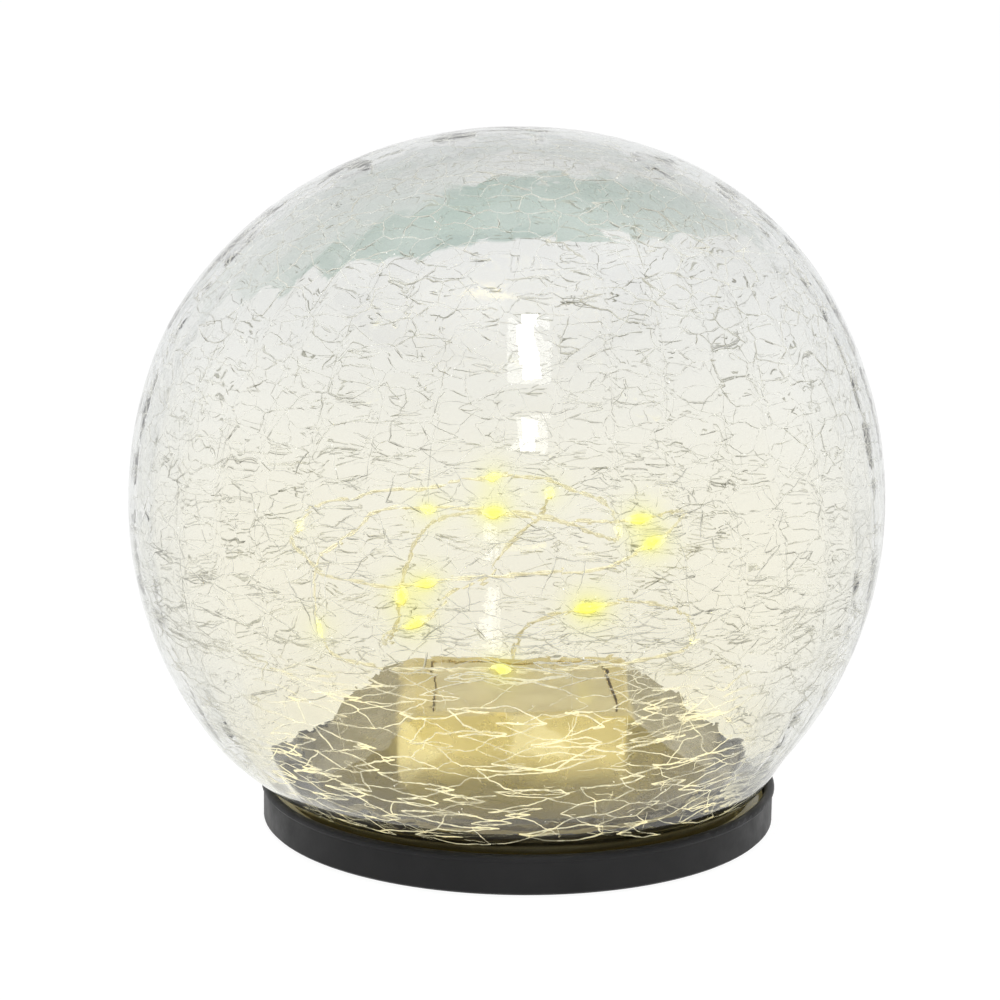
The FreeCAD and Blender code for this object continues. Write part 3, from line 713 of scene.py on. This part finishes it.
def wedge_cracks(paths, rng, lip, deep, slant, start=0.00012, low_gain=0.0):
    """Thin closed wedges along the paths: two lips just under the skin, meeting deeper in the wall."""
    V, Q, T, base = [], [], [], 0
    for path in paths:
        n = len(path)
        if n < 2:
            continue
        t = unit(np.gradient(path, axis=0))
        s = np.cross(path, t)
        w = lip * rng.uniform(0.55, 1.6) * (0.75 + 0.5 * rng.random(n))
        taper = np.minimum(1.0, 0.35 + np.minimum(np.arange(n), np.arange(n)[::-1]) * 0.5)
        w = w * taper * (1.0 + low_gain * smooth(path[:, 2], 0.05, -0.45)) / 0.075
        ln = (slant * rng.normal() * 0.75 + slant * 0.35 * rng.normal(size=n)) / 0.075
        h = start + deep * rng.uniform(0.55, 1.25) * (0.85 + 0.3 * rng.random(n)) * (0.6 + 0.4 * taper)
        h = np.minimum(h, 0.00205)
        L = skin(unit(path + s * w[:, None]), start)
        R = skin(unit(path - s * w[:, None]), start)
        B = skin(unit(path + s * ln[:, None]), h)
        V += [L, R, B]
        k = np.arange(n - 1)
        l, r, b = base + k, base + n + k, base + 2 * n + k
        Q.append(np.stack([l, l + 1, r + 1, r], 1))
        Q.append(np.stack([r, r + 1, b + 1, b], 1))
        Q.append(np.stack([b, b + 1, l + 1, l], 1))
        e = n - 1
        T.append((base, base + n, base + 2 * n))
        T.append((base + e, base + 2 * n + e, base + n + e))
        base += 3 * n
    return np.concatenate(V), np.concatenate(Q), np.array(T)


LOW = -0.735
rng = np.random.default_rng(5)
cc, pairs = crack_net(2500, (1.75, 2.6), 21, lambda d: 1.0 + 1.2 * ladder(d), 1)
main_paths, shade_paths = [], []
for i, j in pairs:
    a, b = cc[i], cc[j]
    ln = np.linalg.norm(a - b) * 0.075
    if min(a[2], b[2]) < LOW or ln < 0.0002 or ln > 0.035:
        continue
    mid = unit((a + b) / 2)
    up = abs(a[2] - b[2]) / (np.linalg.norm(a - b) + 1e-9)
    lad = float(ladder(mid))
    if rng.random() > (0.97 - 0.30 * up * (1 - lad)):
        continue
    path = wander(a, b, rng, 0.07, 0.0008)
    main_paths.append(path)
    # painted shade: a dark dash beside part of some cracks, for the shadow their refraction casts
    if rng.random() < (0.42 if mid[2] > -0.3 else 0.25):
        n = len(path)
        x0 = rng.uniform(0.0, 0.5)
        x1 = x0 + rng.uniform(0.25, 0.6)
        k0, k1 = int(x0 * n), min(n, int(x1 * n) + 2)
        if k1 - k0 >= 2:
            part = path[k0:k1]
            side = unit(np.cross(part, unit(np.gradient(part, axis=0))))
            side *= np.sign(side[:, 2:3] + 1e-9)
            shade_paths.append(unit(part - side * (0.00014 + 0.0001 * rng.random()) / 0.075))
cc2, pairs2 = crack_net(6500, (1.4, 1.7), 77, lambda d: 0.30 + 2.7 * ladder(d), 0)
fine_paths = []
for i, j in pairs2:
    a, b = cc2[i], cc2[j]
    ln = np.linalg.norm(a - b) * 0.075
    if min(a[2], b[2]) < LOW or ln < 0.0003 or ln > 0.012:
        continue
    lad = float(ladder(unit((a + b) / 2)))
    if rng.random() > 0.05 + 0.62 * lad:
        continue
    fine_paths.append(wander(a, b, rng, 0.12, 0.0009))
# upright cracks along the creases
for k in range(40):
    own = (math.sin(k * 78.233 + 1.7) * 12543.12) % 1.0
    se = -0.70
    while se < 0.93:
        run = rng.uniform(0.03, 0.22)
        if rng.random() < 0.30 + 0.5 * own:
            n = max(3, int(run * 0.075 / 0.0011))
            e = np.arcsin(np.clip(np.linspace(se, min(se + run, 0.95), n), -1, 1))
            z = np.sin(e)
            az = np.radians(k * FLUTE - (1.6 * np.sin(2.6 * z + 0.5) + 0.5 * np.sin(7 * z)) + 0.22 * np.cumsum(rng.normal(size=n)) * 0.6)
            fine_paths.append(np.stack([np.cos(e) * np.cos(az), np.cos(e) * np.sin(az), z], 1))
        se += run + rng.uniform(0.0, 0.08)

v1, q1, t1 = wedge_cracks(main_paths, rng, 0.000052, 0.00046, 0.00009, low_gain=0.55)
v2, q2, t2 = wedge_cracks(fine_paths, rng, 0.000026, 0.00028, 0.00005)
v3, q3, t3 = wedge_cracks(shade_paths, rng, 0.000062, 0.00016, 0.00005, 0.00030)
print("cracks", len(main_paths), len(fine_paths), len(shade_paths), len(q1), len(q2), len(q3))


def crack_material(name, tone_lo, tone_hi, see, scale, lamp_glow_tone=None, painted_glow=0.0, sides=None):
    """A crack face: pale and broken, clear in places along its length, with painted lamp light and a painted glow where
    those are given.
    """
    m = Mat(name)
    body = m.nt.nodes.new("ShaderNodeBsdfPrincipled")
    n = m.noise(scale, 3.0, 0.6)
    r = m.ramp(m.noise(90.0, 2.0).outputs["Fac"], [(0.35, tone_lo), (0.65, tone_hi)])
    tone = r.outputs["Color"]
    sep = m.node("ShaderNodeSeparateXYZ")
    m.link(m.coords(), sep.inputs[0])
    # painted lamp light: low on the front, over the module, the cracks take the warm tone
    low = m.remap(sep.outputs["Z"], 0.056, 0.040, 0, 1, True)
    across = m.math("ABSOLUTE", m.math("ADD", sep.outputs["X"], 0.003))
    low = m.math("MULTIPLY", low, m.math("MULTIPLY", m.remap(across, 0.040, 0.050, 1, 0.12, True), m.remap(sep.outputs["Y"], 0.0, -0.012, 0.15, 1, True)))
    if lamp_glow_tone:
        tone = m.mix_rgb(low, tone, lamp_glow_tone)
    m.link(tone, body.inputs["Base Color"])
    body.inputs["Roughness"].default_value = 0.3
    # painted glow: emission lifts the cracks low on the front and high on the far side
    if painted_glow:
        painted_high_glow = m.remap(sep.outputs["Z"], 0.106, 0.117, 0, 0.55, True)
        m.link(tone, body.inputs["Emission Color"])
        m.link(m.math("MULTIPLY", m.math("MAXIMUM", low, painted_high_glow), painted_glow), body.inputs["Emission Strength"])
    trans = m.node("ShaderNodeBsdfTranslucent")
    m.link(tone, trans.inputs["Color"])
    solid = m.node("ShaderNodeMixShader")
    solid.inputs["Fac"].default_value = 0.5
    m.link(body.outputs["BSDF"], solid.inputs[1])
    m.link(trans.outputs["BSDF"], solid.inputs[2])
    clear = m.node("ShaderNodeBsdfTransparent")
    out = m.node("ShaderNodeMixShader")
    shown = m.remap(n.outputs["Fac"], 0.40, 0.62, see[0], see[1], True)
    if sides:
        # fades where the wall turns away to the sides, by place on the ball
        shown = m.math("MULTIPLY", shown, m.remap(m.math("ABSOLUTE", m.math("ADD", sep.outputs["X"], 0.0025)), 0.060, 0.070, 1, sides, True))
    m.link(shown, out.inputs["Fac"])
    m.link(clear.outputs["BSDF"], out.inputs[1])
    m.link(solid.outputs["Shader"], out.inputs[2])
    m.link(out.outputs["Shader"], m.out.inputs["Surface"])
    return m.mat


# the warm tones and the last figures here are painted lamp light and a painted glow
mat_crack = crack_material("crack_face", (0.70, 0.69, 0.63), (0.88, 0.87, 0.82), (0.22, 0.85), 200.0, (0.95, 0.91, 0.72), 0.50)
mat_hair = crack_material("hair_crack", (0.66, 0.65, 0.59), (0.88, 0.87, 0.82), (0.10, 0.75), 260.0, (0.95, 0.90, 0.70), 0.42)
# painted shade: the dark dashes beside the cracks
mat_shade = crack_material("crack_shade", (0.26, 0.25, 0.20), (0.40, 0.38, 0.31), (0.0, 0.70), 330.0, sides=0.25)
shades = link("globe_crack_shades", quick_mesh("globe_crack_shades", v3, q3, t3, smooth=False), "lamp", [mat_shade])
cracks = link("globe_cracks", quick_mesh("globe_cracks", v1, q1, t1, smooth=False), "lamp", [mat_crack])
hair = link("globe_hair_cracks", quick_mesh("globe_hair_cracks", v2, q2, t2, smooth=False), "lamp", [mat_hair])

# tiny shell-shaped chips on the cracks, which catch the light and also glow with a painted glint
V, T, base = [], [], 0
picks = [p[rng.integers(0, len(p))] for p in main_paths + fine_paths if rng.random() < 0.17]
for d in picks:
    t = unit(np.cross(d, rng.normal(size=3)))
    s = np.cross(d, t)
    k = rng.integers(4, 7)
    ang = np.sort(rng.uniform(0, 2 * np.pi, k))
    size = rng.uniform(0.00008, 0.00028)
    tilt = unit(d + 0.9 * rng.normal(size=3))
    t = unit(np.cross(tilt, t)); s = np.cross(tilt, t)
    depth = rng.uniform(0.0004, 0.0010)
    c = skin(d[None], depth)[0]
    ring = [c + (t * math.cos(x) + s * math.sin(x)) * size * rng.uniform(0.6, 1.2) for x in ang]
    V += ring + [c + tilt * size * 0.25, c - tilt * size * 0.15]
    for x in range(k):
        T.append((base + x, base + (x + 1) % k, base + k))
        T.append((base + (x + 1) % k, base + x, base + k + 1))
    base += k + 2
m = Mat("glint")
p = m.principled(Roughness=0.08)
n = m.noise(400.0, 2.0)
r = m.ramp(n.outputs["Fac"], [(0.3, (0.85, 0.86, 0.84)), (0.7, (0.98, 0.98, 0.96))])
m.link(r.outputs["Color"], p.inputs["Base Color"])
p.inputs["Specular IOR Level"].default_value = 1.0
# painted glint: the chips glow a little of their own
p.inputs["Emission Color"].default_value = (1.0, 1.0, 0.98, 1.0)
p.inputs["Emission Strength"].default_value = 0.45
mat_glint = m.mat
glints = link("globe_glints", quick_mesh("globe_glints", np.array(V), np.zeros((0, 4), int), np.array(T), smooth=False), "lamp", [mat_glint])

# ------------------------------------------------------------------ finishes of the CAD pieces
m = Mat("black_moulding")
p = m.principled(IOR=1.5)
p.inputs["Specular IOR Level"].default_value = 0.24
n = m.noise(60.0, 5.0)
r = m.ramp(n.outputs["Fac"], [(0.35, (0.005, 0.005, 0.0055)), (0.65, (0.010, 0.010, 0.0105))])
sep = m.node("ShaderNodeSeparateXYZ")
m.link(m.coords(), sep.inputs[0])
away = m.math("SQRT", m.math("ADD", m.math("MULTIPLY", sep.outputs["X"], sep.outputs["X"]), m.math("MULTIPLY", sep.outputs["Y"], sep.outputs["Y"])))
# painted reflection: inside the ring, round the glass neck, the black is painted olive gold, darker within the collar,
# for the gold module seen in the glass there
painted_gold_reflection = m.math("MULTIPLY", m.math("MULTIPLY", m.remap(away, 0.0482, 0.0466, 0, 1), m.remap(sep.outputs["Z"], 0.0027, 0.0029, 0, 1)), m.remap(sep.outputs["Z"], 0.0076, 0.0070, 0.35, 1))
r2 = m.ramp(n.outputs["Fac"], [(0.35, (0.17, 0.135, 0.034)), (0.65, (0.24, 0.195, 0.060))])
collar = m.math("MULTIPLY", m.remap(away, 0.0452, 0.0446, 0, 1), m.remap(sep.outputs["Z"], 0.0031, 0.0034, 0, 1))
painted_gold_tone = m.mix_rgb(collar, r2.outputs["Color"], (0.050, 0.038, 0.009))
m.link(m.mix_rgb(painted_gold_reflection, r.outputs["Color"], painted_gold_tone), p.inputs["Base Color"])
m.link(m.remap(m.noise(186.0, 6.0, 0.65).outputs["Fac"], 0.35, 0.65, 0.38, 0.52), p.inputs["Roughness"])
b = m.bump(m.noise(1400.0, 3.0, 0.6).outputs["Fac"], 0.5, 0.00003)
m.link(b.outputs["Normal"], p.inputs["Normal"])
black = m.mat
m = Mat("gold_paint")
p = m.principled(Metallic=0.82, IOR=1.5)
sep = m.node("ShaderNodeSeparateXYZ")
m.link(m.coords(), sep.inputs[0])
n = m.noise(45.0, 5.0)
r = m.ramp(n.outputs["Fac"], [(0.35, (0.62, 0.50, 0.155)), (0.65, (0.74, 0.61, 0.240))])
# painted shade: the gold darkens towards the bottom of the cover
low = m.remap(m.math("ADD", sep.outputs["Z"], m.math("MULTIPLY", m.math("SUBTRACT", n.outputs["Fac"], 0.5), 0.006)), 0.0225, 0.0165, 0, 1, True)
wide = m.math("ADD", m.math("ABSOLUTE", m.math("ADD", sep.outputs["X"], 0.001)), m.math("MULTIPLY", m.math("SUBTRACT", m.noise(70.0, 3.0).outputs["Fac"], 0.5), 0.004))
# painted shade: the left and right flanks of the cover are darkened
painted_flank_shade = m.math("MULTIPLY", m.remap(wide, 0.0215, 0.0235, 0, 0.85, True), m.remap(sep.outputs["Z"], 0.0268, 0.0255, 0, 1, True))
tone = m.mix_rgb(painted_flank_shade, r.outputs["Color"], (0.20, 0.155, 0.030))
# painted reflection: pale patches on the front of the cover, none on the flanks
pale = m.remap(m.noise(58.0, 2.0, 0.4).outputs["Fac"], 0.56, 0.60, 0, 0.6, True)
tone = m.mix_rgb(m.math("MULTIPLY", pale, m.remap(painted_flank_shade, 0.0, 0.6, 1, 0)), tone, (0.93, 0.82, 0.44))
tone = m.mix_rgb(low, tone, (0.22, 0.172, 0.036))
# painted shade: still darker on the skirt at the very bottom
deep = m.remap(sep.outputs["Z"], 0.0165, 0.0115, 0, 1, True)
m.link(m.mix_rgb(deep, tone, (0.090, 0.068, 0.013)), p.inputs["Base Color"])
n2 = m.noise(140.0, 5.0, 0.65)
m.link(m.remap(n2.outputs["Fac"], 0.35, 0.65, 0.20, 0.34), p.inputs["Roughness"])
b = m.bump(m.noise(700.0, 3.0, 0.6).outputs["Fac"], 0.35, 0.00003)
m.link(b.outputs["Normal"], p.inputs["Normal"])
gold = m.mat
silicone = plastic("silicone", (0.012, 0.012, 0.012), (0.03, 0.03, 0.03), (0.35, 0.55), 700.0)
tan_seal = plastic("tan_seal", (0.26, 0.21, 0.08), (0.36, 0.30, 0.12), (0.35, 0.55), 700.0)
sealant = plastic("sealant", (0.16, 0.13, 0.05), (0.26, 0.22, 0.10), (0.15, 0.3), 400.0)
rubber = plastic("foot_rubber", (0.015, 0.015, 0.015), (0.03, 0.03, 0.03), (0.6, 0.8), 1200.0)
board_green = plastic("board_green", (0.02, 0.12, 0.05), (0.04, 0.2, 0.08), (0.25, 0.4), 500.0)
cell_film = plastic("cell_film", (0.58, 0.46, 0.14), (0.72, 0.59, 0.21), (0.15, 0.3), 300.0)
film_back = plastic("film_back", (0.50, 0.40, 0.13), (0.62, 0.50, 0.18), (0.25, 0.4), 500.0)
wrap = plastic("cell_wrap", (0.05, 0.25, 0.12), (0.08, 0.34, 0.16), (0.2, 0.35), 500.0)
ic_black = plastic("ic_black", (0.012, 0.012, 0.013), (0.03, 0.03, 0.03), (0.4, 0.6), 1500.0)
ferrite = plastic("ferrite", (0.05, 0.05, 0.055), (0.11, 0.11, 0.12), (0.5, 0.7), 900.0)
sleeve = plastic("sleeve", (0.02, 0.03, 0.10), (0.04, 0.06, 0.18), (0.2, 0.3), 900.0)
white = plastic("white_moulding", (0.70, 0.70, 0.66), (0.84, 0.84, 0.80), (0.3, 0.45), 900.0)
lead_red = plastic("lead_insulation", (0.30, 0.02, 0.02), (0.45, 0.04, 0.03), (0.35, 0.5), 900.0)
steel = metal("zinc_steel", (0.42, 0.42, 0.43), (0.66, 0.66, 0.66))
tin = metal("tinned_copper", (0.62, 0.60, 0.55), (0.82, 0.81, 0.77))
m = Mat("panel_window")
p = m.principled(IOR=1.5)
p.inputs["Transmission Weight"].default_value = 0.35
n = m.noise(120.0, 3.0)
r = m.ramp(n.outputs["Fac"], [(0.3, (0.66, 0.54, 0.20)), (0.7, (0.84, 0.72, 0.34))])
m.link(r.outputs["Color"], p.inputs["Base Color"])
m.link(m.remap(m.noise(90.0, 4.0).outputs["Fac"], 0.35, 0.65, 0.10, 0.24), p.inputs["Roughness"])
b = m.bump(m.noise(300.0, 3.0).outputs["Fac"], 0.2, 0.0001)
m.link(b.outputs["Normal"], p.inputs["Normal"])
window = m.mat

FINISH = {
    "base_tray": black, "battery_door": black, "module_cover": gold, "seat_gasket": tan_seal, "cover_seal": tan_seal,
    "door_gasket": silicone, "neck_sealant": sealant, "solar_backplate": film_back, "solar_cells": cell_film,
    "cell_ribbons": tin, "solar_window": window, "battery_cell": wrap, "contact_spring": tin, "contact_plate": tin,
    "circuit_board": board_green, "controller_chip": ic_black, "boost_inductor": ferrite, "capacitor": sleeve,
    "flyback_diode": ic_black, "board_screws": steel, "switch_body": ic_black, "switch_knob": white,
    "string_grommet": rubber, "door_screws": steel, "cover_screws": steel, "rubber_feet": rubber,
    "panel_leads": lead_red, "battery_leads": lead_red, "string_leads": lead_red,
}
for name, mat in FINISH.items():
    ob = nodes[name]
    ob.data.materials.clear()
    ob.data.materials.append(mat)

# ------------------------------------------------------------------ floor and light
m = Mat("floor")
n = m.noise(3.0, 2.0)
d = m.node("ShaderNodeBsdfDiffuse")
r = m.ramp(n.outputs["Fac"], [(0.3, (0.118, 0.118, 0.118)), (0.7, (0.122, 0.122, 0.122))])
m.link(r.outputs["Color"], d.inputs["Color"])
e = m.node("ShaderNodeEmission", Color=(1, 1, 1, 1), Strength=0.945)
add = m.node("ShaderNodeAddShader")
m.link(d.outputs["BSDF"], add.inputs[0])
m.link(e.outputs["Emission"], add.inputs[1])
m.link(add.outputs["Shader"], m.out.inputs["Surface"])
me = mesh_from("floor", [(-9, -9, 0), (9, -9, 0), (9, 9, 0), (-9, 9, 0)], [(0, 1, 2, 3)])
me.materials.append(m.mat)
floor = bpy.data.objects.new("floor", me)
scene.collection.objects.link(floor)

SKY = 0.34
world = bpy.data.worlds.new("studio")
scene.world = world
world.use_nodes = True
wt = world.node_tree
wt.nodes.clear()
wo = wt.nodes.new("ShaderNodeOutputWorld")
bg = wt.nodes.new("ShaderNodeBackground")
tc = wt.nodes.new("ShaderNodeTexCoord")
sp = wt.nodes.new("ShaderNodeSeparateXYZ")
rp = wt.nodes.new("ShaderNodeValToRGB")
STEPS = ((0.570, 0.99), (0.640, 0.94), (0.720, 0.74), (0.800, 0.42), (0.900, SKY), (0.965, 0.95))
while len(rp.color_ramp.elements) < len(STEPS):
    rp.color_ramp.elements.new(0.5)
for e, (at, level) in zip(rp.color_ramp.elements, STEPS):
    e.position = at
    e.color = (level, level, level, 1)
mp = wt.nodes.new("ShaderNodeMapRange")
mp.inputs["From Min"].default_value = -1.0
mp.inputs["From Max"].default_value = 1.0
wt.links.new(tc.outputs["Generated"], sp.inputs[0])
wt.links.new(sp.outputs["Z"], mp.inputs["Value"])
wt.links.new(mp.outputs["Result"], rp.inputs["Fac"])
wt.links.new(rp.outputs["Color"], bg.inputs["Color"])
bg.inputs["Strength"].default_value = 1.0
wt.links.new(bg.outputs["Background"], wo.inputs["Surface"])


def area(name, direction, dist, size, radiance, color=(1, 1, 1), target=Vector((0, 0, 0.075))):
    li = bpy.data.lights.new(name, "AREA")
    li.shape = "RECTANGLE"
    li.size, li.size_y = size
    li.color = color
    li.energy = radiance * size[0] * size[1] * math.pi
    ob = bpy.data.objects.new(name, li)
    scene.collection.objects.link(ob)
    d = Vector(direction).normalized()
    ob.location = target + d * dist
    ob.rotation_mode = "QUATERNION"
    ob.rotation_quaternion = d.to_track_quat("Z", "Y")
    return ob


def sky(az, el):
    """Direction to a light; azimuth 0 is on the camera's side, positive to its right."""
    a, e = math.radians(az), math.radians(el)
    return (math.sin(a) * math.cos(e), -math.cos(a) * math.cos(e), math.sin(e))


area("key_strip", sky(9, 55), 1.0, (0.080, 0.39), 34.0)
area("low_strip", sky(6.5, 27), 1.0, (0.075, 0.19), 10.0)

# ------------------------------------------------------------------ the yellow bloom round each lit lamp
scene.use_nodes = True
ct = scene.node_tree
ct.nodes.clear()


def cnode(kind, **values):
    n = ct.nodes.new(kind)
    for k, v in values.items():
        setattr(n, k, v)
    return n


def cmath(op, a, b, clamp=False):
    n = cnode("CompositorNodeMath", operation=op, use_clamp=clamp)
    for k, v in enumerate((a, b)):
        if isinstance(v, (int, float)):
            n.inputs[k].default_value = v
        else:
            ct.links.new(v, n.inputs[k])
    return n.outputs[0]


def cblur(src, px):
    n = cnode("CompositorNodeBlur", filter_type="FAST_GAUSS", size_x=px, size_y=px)
    ct.links.new(src, n.inputs[0])
    return n.outputs[0]


rl = cnode("CompositorNodeRLayers")
split = cnode("CompositorNodeSeparateColor")
ct.links.new(rl.outputs["Image"], split.inputs[0])
lit = cmath("SUBTRACT", split.outputs[0], split.outputs[2])
lit = cmath("MULTIPLY", cmath("SUBTRACT", lit, 0.55), 1.8, True)
halo = cmath("ADD", cmath("MULTIPLY", cblur(lit, 12), 1.0), cmath("MULTIPLY", cblur(lit, 44), 4.6), True)
blue = cmath("MULTIPLY", split.outputs[2], cmath("SUBTRACT", 1.0, cmath("MULTIPLY", halo, 0.66)))
red = cmath("ADD", split.outputs[0], cmath("MULTIPLY", halo, 0.12))
green = cmath("ADD", split.outputs[1], cmath("MULTIPLY", halo, 0.13))
join = cnode("CompositorNodeCombineColor")
for k, v in enumerate((red, green, blue)):
    ct.links.new(v, join.inputs[k])
ct.links.new(split.outputs[3], join.inputs[3])
comp = cnode("CompositorNodeComposite")
ct.links.new(join.outputs[0], comp.inputs[0])
